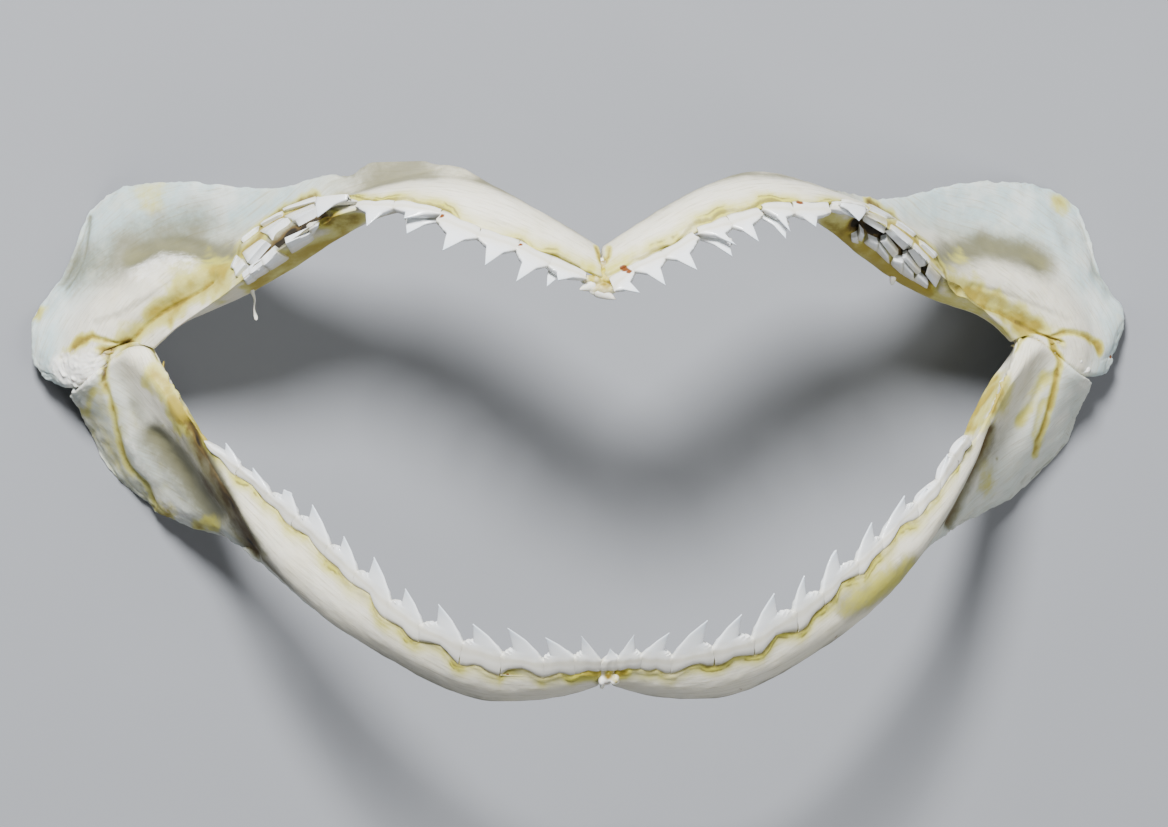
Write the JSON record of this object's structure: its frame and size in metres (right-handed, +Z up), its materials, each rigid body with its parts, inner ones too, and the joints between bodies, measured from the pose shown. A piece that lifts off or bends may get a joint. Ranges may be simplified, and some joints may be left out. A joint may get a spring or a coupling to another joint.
{
  "type": "shark jaw",
  "caption": "Dried, spread jaw of a small requiem shark, lying on its back with both tooth rows facing up.",
  "frame": {"origin": "middle of the jaw's box at the level of the surface it lies on", "axes": "+X across the jaw to the picture's right, +Y from the lower jaw to the upper jaw, +Z up, the way the teeth face"},
  "size_m": [0.1342, 0.0639, 0.0432],
  "materials": {
    "cartilage": "dried, bleached cartilage and white teeth, satin",
    "tissue": "dried yellow connective tissue, satin"
  },
  "bodies": {
    "root": {"upper_jaw_left": "cartilage", "upper_jaw_right": "cartilage", "lower_jaw_left": "cartilage", "lower_jaw_right": "cartilage", "upper_symphysis": "tissue", "lower_symphysis": "tissue"}
  },
  "joints": []
}
